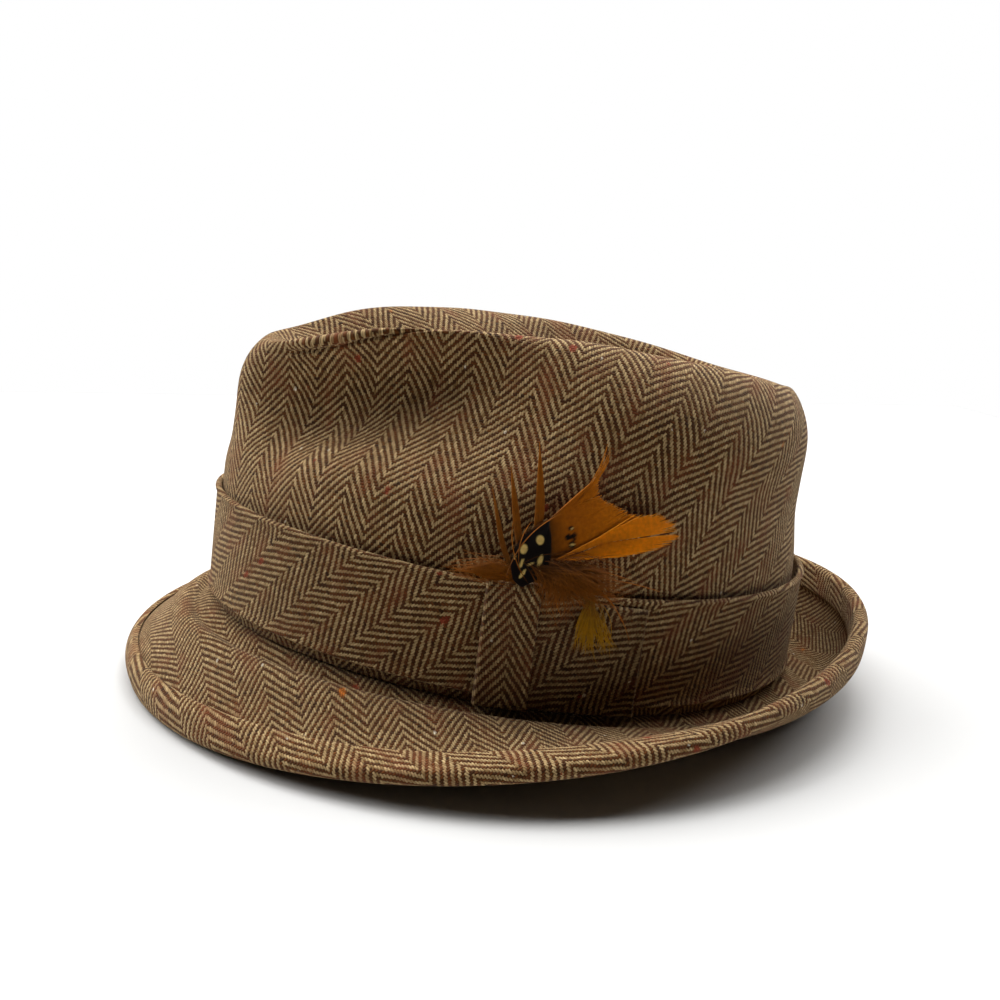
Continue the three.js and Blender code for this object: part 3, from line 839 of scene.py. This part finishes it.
def spaced(start, stop, count):
    """Distances from start to stop, close together at both ends where the edge is rounded."""
    ends = end_reach * (1 - np.cos(np.linspace(0, np.pi / 2, 9)))
    between = np.linspace(start + end_reach, stop - end_reach, count)[1:-1]
    return np.concatenate([start + ends, between, stop - ends[::-1]])


tail_places = spaced(-keeper_width / 2 + 2 * clearance, keeper_width / 2 + tail_length, 36)
tail = strip("tail_cloth", tail_places, tail_section, lean=band_lean, shift=5.0, end_round=0.8,
             beads=(0.0, 0.9))
# painted shade: the tail's tweed is the same cloth, darkened to 0.83 for the shade on the bow
dress(tail, tweed("tail_tweed", 0.83), "bow_tail")


def keeper_section(distances, angles):
    """Upright slab in front of the tail, its top turned back over the band's edge."""
    back = clearance + tail_wall + clearance
    front = back + keeper_wall
    low = saddle(bow_angle) - keeper_hang + 0 * angles
    under = saddle(angles) + band_height + clearance
    top = under + keeper_wall
    r = keeper_wall / 2
    steps = 13
    outline = [(front, low + r)]
    outline += [(front, low + r + k * (top - r - low - 2 * r) / steps) for k in range(1, steps + 1)]
    outline += [(front - 2 * r + 2 * r * np.cos(a), top - 2 * r + 2 * r * np.sin(a))
                for a in np.linspace(0, np.pi / 2, 4)]
    outline += [(-band_wall + r, top), (-band_wall, under + r), (-band_wall + r, under),
                (back, under)]
    outline += [(back, under - k * (under - low - r) / steps) for k in range(1, steps + 1)]
    outline += [(back + r, low)]
    return np.stack([np.stack([o + 0 * low, u + 0 * low], -1) for o, u in outline], 1)


keeper_places = spaced(-keeper_width / 2, keeper_width / 2, 14)
keeper = strip("keeper_cloth", keeper_places, keeper_section, lean=0.0, shift=0.0, end_round=0.6,
               beads=(0.8, 0.8))
# painted shade: the keeper's tweed is the same cloth, darkened to 0.9 for the shade on the bow
dress(keeper, tweed("keeper_tweed", 0.9), "bow_keeper")

# Plume: small dyed feathers tied to one bound head behind the keeper's upper lip, so that they
# fan out over the crown. Each is made of single barbs, and down hangs from the root.
plume_stand = 3.0
plume_lean = 0.17
plume_foot = 36.0
luck = np.random.default_rng(5)
feather_orange = (228, 138, 8)
feather_amber = (170, 96, 10)
feather_rust = (98, 56, 10)
feather_brown = (104, 70, 16)
feather_yellow = (176, 126, 14)
feather_black = (17, 11, 10)
feather_cream = (214, 186, 112)


def plume_point(along, up, stand):
    """Point at a distance along the band from the bow's middle, a height and a stand-off, on the
    slope on which the feathers lean back."""
    out = plume_stand + stand - plume_lean * np.maximum(up - plume_foot, 0)
    return lie(hat_point(walk(bow_angle, along), out, up))


def curve(places, t):
    """Points at shares t of the way along a smooth line through places."""
    places = np.asarray(places, float)
    return smooth(np.linspace(0, 1, len(places)), places, t)


def barbs(name, roots, ends, bow, width, stand, dye, points=9, tip=0.25):
    """One piece of many barbs, each a thin three-sided blade along a bowed line from its root to
    its end, widest a third of the way out. stand is its root's and its end's distance off the
    slope, and dye gives the colours at its places."""
    count = len(roots)
    t = np.linspace(0, 1, points)[None, :, None]
    sideways = turned_left(ends - roots)
    bow, width = np.broadcast_to(bow, count), np.broadcast_to(width, count)
    middle = (roots + ends) / 2 + sideways * bow[:, None]
    path = (1 - t)**2 * roots[:, None] + 2 * t * (1 - t) * middle[:, None] + t**2 * ends[:, None]
    across = side_of(path)
    share = t[0, :, 0]
    full = np.interp(share, [0, 0.3, 0.8, 1], [0.7, 1, 0.8, tip])
    half = (width[:, None] / 2 * full)[..., None]
    near, far = (np.asarray(end)[..., None] for end in stand)
    off = np.broadcast_to(near * (1 - share) + far * share, path.shape[:2])
    places = np.stack([path + across * half, path - across * half, path], 2)
    offs = np.stack([off, off, off + half[..., 0]], 2)
    corners = plume_point(places[..., 0], places[..., 1], offs)
    number = np.arange(count * points * 3).reshape(count, points, 3)
    turned = np.roll(number, -1, axis=2)
    sides = np.stack([number[:, :-1], number[:, 1:], turned[:, 1:], turned[:, :-1]], -1)
    faces = sides.reshape(-1, 4).tolist() + number[:, 0, ::-1].tolist() + number[:, -1].tolist()
    mesh = bpy.data.meshes.new(name)
    mesh.from_pydata((corners.reshape(-1, 3) / 1000).tolist(), [], faces)
    colours = np.ones((count * points * 3, 4))
    shares = np.broadcast_to(t[..., None], places.shape[:3] + (1,))
    colours[:, :3] = dye(places, shares).reshape(-1, 3)
    layer = mesh.color_attributes.new("dye", "FLOAT_COLOR", "POINT")
    layer.data.foreach_set("color", colours.ravel())
    face_out(mesh)
    dress(put(name, mesh), barb_finish, "feather_plume")


def mixed(one, other, share):
    """Colours between two paints, in linear light."""
    one, other = np.array(paint(*one)[:3]), np.array(paint(*other)[:3])
    return one + (other - one) * np.clip(share, 0, 1)


def spotted(colours, places, spots, colour):
    """Puts oval spots on colours: middle, half width, half height and slant of each."""
    for x, y, wide, high, slant in spots:
        dx, dy = places[..., 0] - x, places[..., 1] - y
        a, b = dx * np.cos(slant) + dy * np.sin(slant), dy * np.cos(slant) - dx * np.sin(slant)
        inside = np.clip((1 - np.hypot(a / wide, b / high)) * 4, 0, 1)[..., None]
        colours = colours + (np.array(paint(*colour)[:3]) - colours) * inside
    return colours


# The barbs' own dye, broken by fine streaks that make it a third darker or lighter
barb_finish, barb_tree, barb_shader = new_finish("feather_barbs", roughness=0.55)
fill(barb_shader, Specular_IOR_Level=0.15)
dye_node = barb_tree.nodes.new("ShaderNodeVertexColor")
dye_node.layer_name = "dye"
streak_place = barb_tree.nodes.new("ShaderNodeTexCoord")
streaks = barb_tree.nodes.new("ShaderNodeTexNoise")
fill(streaks, Scale=900)
streak_range = barb_tree.nodes.new("ShaderNodeMapRange")
streak_range.inputs[3].default_value = 0.65
streak_range.inputs[4].default_value = 1.35
streaked = barb_tree.nodes.new("ShaderNodeVectorMath")
streaked.operation = "SCALE"
join(barb_tree, (streak_place.outputs["Object"], streaks.inputs["Vector"]),
     (streaks.outputs["Fac"], streak_range.inputs[0]),
     (dye_node.outputs["Color"], streaked.inputs[0]),
     (streak_range.outputs[0], streaked.inputs["Scale"]),
     (streaked.outputs[0], barb_shader.inputs["Base Color"]))


def narrow_feather(spine, half, count):
    """Roots and ends of barbs that lie almost along a spine, on both sides of it."""
    t = np.linspace(0, 0.9, count)
    at = curve(spine, t)
    end = np.minimum(t + 0.3, 1.0)
    tip = curve(spine, end)
    side = turned_left(unit(curve(spine, t + 0.02) - at))
    wide = (half * np.sin(np.pi * np.clip(t * 0.75 + 0.2, 0, 1)) * (1 - end**3))[:, None]
    return np.vstack([at, at]), np.vstack([tip + side * wide, tip - side * wide])


# Narrow feathers: three stiff rust and amber ones, with barbs that lie almost along the quill,
# stand up at the front of the plume.
spikes = [
    ([(1.5, 34.5), (-3.6, 41), (-6.6, 49), (-9.8, 59.5)], 0.9),
    ([(2.5, 36), (-0.6, 46), (-2.6, 54.5), (-5.4, 66.5)], 1.35),
    ([(4.0, 38), (4.3, 50), (3.9, 60), (2.0, 74)], 1.7),
]
spike_barbs = 60
spike_roots, spike_ends = map(np.vstack, zip(*(
    narrow_feather(spine, half, spike_barbs) for spine, half in spikes)))
barbs("spike_feathers", spike_roots, spike_ends, bow=0.0, width=0.42, stand=(0.9, 0.9),
      dye=lambda place, t: mixed(feather_rust, feather_amber, (place[..., 1:] - 38) / 44))

# Broad feather: an orange one trimmed to a fan behind the head, with small dark eyes near its
# root and a wisp of loose barbs left at its corner.
count, wisp_count = 230, 14
eyes = [(13.9, 51.4, 0.9, 0.7, 0), (13.3, 48.8, 0.9, 1.0, 0),
        (14.9, 49.2, 0.8, 1.3, 0.3), (14.6, 46.9, 1.1, 1.2, 0)]
pale_eyes = [(14.7, 46.8, 0.6, 0.6, 0), (14.0, 51.3, 0.5, 0.35, 0)]
t = np.linspace(0, 1, count)
broad_roots = curve([(10.5, 42.4), (7.6, 43.4), (7.2, 48), (6.7, 51.8), (9.0, 54.2)], t)
broad_ends = curve([(34.5, 56.2), (29.5, 57.8), (24.5, 59.4), (21, 61.8), (20.5, 66.2)], t)
broad_ends += luck.normal(0, 0.35, broad_ends.shape)
wisp_roots = curve([(12, 56), (16, 60.5)], luck.uniform(0, 1, wisp_count))
wisp_ends = np.stack([23 + luck.normal(0, 0.9, wisp_count),
                      70 + 7 * luck.uniform(0, 1, wisp_count)], -1)


def broad_dye(place, t):
    """Amber to orange along the feather, rust at the quill, with the eyes on it."""
    base = mixed(feather_amber, feather_orange, (place[..., :1] - 14) / 30)
    edge = mixed(feather_rust, feather_amber, t * 3)
    base = spotted(np.where(t < 0.33, edge, base), place, eyes, feather_black)
    return spotted(base, place, pale_eyes, feather_cream)


barbs("broad_feather", np.vstack([broad_roots, wisp_roots]), np.vstack([broad_ends, wisp_ends]),
      bow=np.concatenate([0.03 + 0.02 * t, np.full(wisp_count, -0.12)]),
      width=np.concatenate([np.full(count, 0.42), np.full(wisp_count, 0.22)]),
      stand=(0.3, 0.1), dye=broad_dye, points=30)

# Split feather: the brightest orange one, lying over the broad one. Its vane has parted towards
# the end, so it is made as an upper and a lower half with frayed tips.
count = 130
t = np.linspace(0, 1, count)
upper_roots = curve([(10.3, 42.5), (17, 45.6), (24, 48.9)], t**0.7)
upper_ends = curve([(33.0, 55.9), (38, 57.6), (42.5, 57.2), (46, 54.6)], t)
lower_roots = curve([(24, 48.6), (17, 45.0), (10.3, 42.3)], t)
lower_ends = curve([(46.5, 52.9), (46.5, 51.5), (40, 48.4), (30, 45.6), (17, 43.1)], t)
fray = luck.normal(0, 0.5, (count, 2)) * [2.2, 0.6]
barbs("split_feather", np.vstack([upper_roots, lower_roots]),
      np.vstack([upper_ends + fray, lower_ends + fray * 0.6]), bow=0.02, width=0.4,
      stand=(1.3, 0.9), dye=lambda place, t: mixed(feather_amber, feather_orange, t * 1.6 + 0.1),
      points=14, tip=0.12)

# Black feather: a short one with cream spots and rust edges, tied over the roots of the others,
# its barbs running out to both sides from its quill.
count = 90
cream_spots = [(5.1, 47.3, 1.25, 1.5, 0), (0.9, 44.1, 1.05, 1.6, -0.2), (0.7, 40.1, 0.5, 1.6, -0.3),
               (5.7, 41.6, 0.7, 2.0, -0.2), (5.9, 38.3, 0.5, 0.8, 0), (1.3, 37.3, 0.5, 1.8, -0.5),
               (3.2, 40.3, 1.2, 0.4, 0.5), (-1.4, 41.6, 0.35, 0.9, 0)]
t = np.linspace(0, 1, count)
spine = curve([(1.6, 33.6), (2.6, 40.0), (4.8, 46.0), (7.0, 51.5)], t)
left = curve([(-1.2, 35.4), (-2.2, 40.5), (-0.5, 46.4), (3.6, 51.0), (6.8, 53.2)], t)
right = curve([(5.4, 36.0), (8.4, 40.6), (8.6, 45.5), (8.0, 49.6), (7.2, 53.2)], t)


def black_dye(place, t):
    """Black, turning to rust at the edges and the tip, with the cream spots on it."""
    base = mixed(feather_black, feather_rust, (t - 0.8) * 3 + (place[..., 1:] - 50) / 4)
    return spotted(base, place, cream_spots, feather_cream)


barbs("black_feather", np.vstack([spine, spine]), np.vstack([left, right]), bow=0.06, width=0.46,
      stand=(2.0, 1.6), dye=black_dye, points=16)

# Down: loose rust fibres below and in front of the head, a few long strands that stray from them,
# and a tuft of yellow ones on a stem of its own.
strand_roots = np.array([(9, 39), (10, 39), (12, 38), (9, 40),
                         (3, 35), (-3, 36), (0, 40), (11, 38)], float)
strand_ends = np.array([(34.2, 21.5), (31, 27), (41.5, 36.6), (33.3, 38.9),
                        (-3, 51), (10, 55.4), (2, 52), (13.2, 27)], float)
strand_bows = np.array([0.32, 0.3, 0.1, 0.12, 0.2, 0.22, 0.2, -0.2])
stem_count = 16


def loose(name, count, root, root_spread, ends, end_spread, shortest, bow, stands, **look):
    """Many fibres as one piece, from roots scattered about a place to ends scattered about a line
    of places, cut to random shares of their length down to the shortest. bow is the middle and
    the spread of their bows, stands the ranges of their distances off the slope, and look the
    rest that barbs needs."""
    roots = np.asarray(root) + luck.normal(0, 1, (count, 2)) * root_spread
    tips = curve(ends, luck.uniform(0, 1, count)) + luck.normal(0, 1, (count, 2)) * end_spread
    if shortest < 1:
        tips = roots + (tips - roots) * luck.uniform(shortest, 1.0, count)[:, None]
    barbs(name, roots, tips, bow=luck.normal(*bow, count),
          stand=[luck.uniform(*stand, count) for stand in stands], **look)


loose("down", 900, root=(9.5, 39.4), root_spread=(3.2, 1.1),
      ends=[(8, 29), (13, 26.5), (19, 30), (26, 30.5), (31, 34), (34, 41)], end_spread=(2.2, 2.4),
      shortest=0.25, bow=(0.12, 0.22), stands=((0.3, 2.4), (0.6, 4.2)), width=0.14, tip=0.1,
      dye=lambda place, t: 0.7 * mixed(feather_rust, feather_amber, t * 1.1 - 0.2))
loose("front_down", 460, root=(-1.5, 35.4), root_spread=(2.2, 0.8),
      ends=[(-21, 34.2), (-16, 36.6), (-10, 39.0), (-5, 39.4)], end_spread=(1.6, 0.9),
      shortest=0.3, bow=(-0.06, 0.18), stands=((0.2, 0.9), (0.3, 1.8)), width=0.14, tip=0.1,
      dye=lambda place, t: mixed(feather_rust, feather_amber, t * 0.6))
barbs("strands", strand_roots, strand_ends, strand_bows, width=0.3, stand=(2.0, 2.6),
      dye=lambda place, t: mixed(feather_rust, feather_amber, t), points=24, tip=0.3)
loose("yellow_tuft", 130, root=(22.0, 30.5), root_spread=(0.6, 1.6),
      ends=[(18.0, 20.5), (21, 17.8), (25, 17.6), (31.0, 19.0)], end_spread=(0.9, 1.6),
      shortest=1, bow=(0.0, 0.16), stands=((0.6, 1.2), (1.0, 3.0)), width=0.2, tip=0.15,
      dye=lambda place, t: mixed(feather_brown, feather_yellow, t * 1.5))
stem_roots = np.stack([12 + luck.uniform(0, 2, stem_count), np.full(stem_count, 38.0)], -1)
stem_ends = np.stack([22 + luck.normal(0, 0.5, stem_count), np.full(stem_count, 29.0)], -1)
barbs("tuft_stem", stem_roots, stem_ends, bow=0.18, width=0.22, stand=(2.0, 0.9),
      dye=lambda place, t: mixed(feather_rust, feather_brown, t), tip=0.5)

# Head: the quills' ends laid together along the band and bound round with dark thread, each turn
# of which stands up a little, behind the keeper's upper lip.
head_thick = 1.7
head_height = 37.4
head_sunk = 1.0
thread_turn = 0.45
head_sides = 16
head_along = np.linspace(-2.5, 11.5, 40)
head_share = (head_along - head_along[0]) / (head_along[-1] - head_along[0])
head_radius = head_thick * np.sqrt(np.clip(1 - (2 * head_share - 1)**4, 0, 1)) + 0.02
head_radius *= 1 + 0.06 * np.abs(np.sin(np.pi * head_along / thread_turn))
head_turn = np.linspace(0, 2 * np.pi, head_sides, endpoint=False)
head_up = head_height + head_radius[:, None] * np.cos(head_turn)
head_off = head_radius[:, None] * np.sin(head_turn) - head_sunk
head_places = plume_point(np.repeat(head_along[:, None], head_sides, 1), head_up, head_off)
head_flat = pairs(head_along[:, None], np.linspace(0, 10, head_sides + 1))
head = cloth("plume_head", head_places, head_flat, ends_closed=True)
thread, thread_tree, thread_shader = new_finish("binding_thread", roughness=0.7)
wraps_place = thread_tree.nodes.new("ShaderNodeUVMap")
wraps_place.uv_map = "cloth"
wraps = thread_tree.nodes.new("ShaderNodeTexWave")
fill(wraps, Scale=0.7)
wraps_colour = thread_tree.nodes.new("ShaderNodeMix")
wraps_colour.data_type = "RGBA"
wraps_colour.inputs[6].default_value = paint(24, 13, 8)
wraps_colour.inputs[7].default_value = paint(70, 40, 20)
join(thread_tree, (wraps_place.outputs[0], wraps.inputs["Vector"]),
     (wraps.outputs["Fac"], wraps_colour.inputs[0]),
     (wraps_colour.outputs[2], thread_shader.inputs["Base Color"]))
dress(head, thread, "feather_plume")
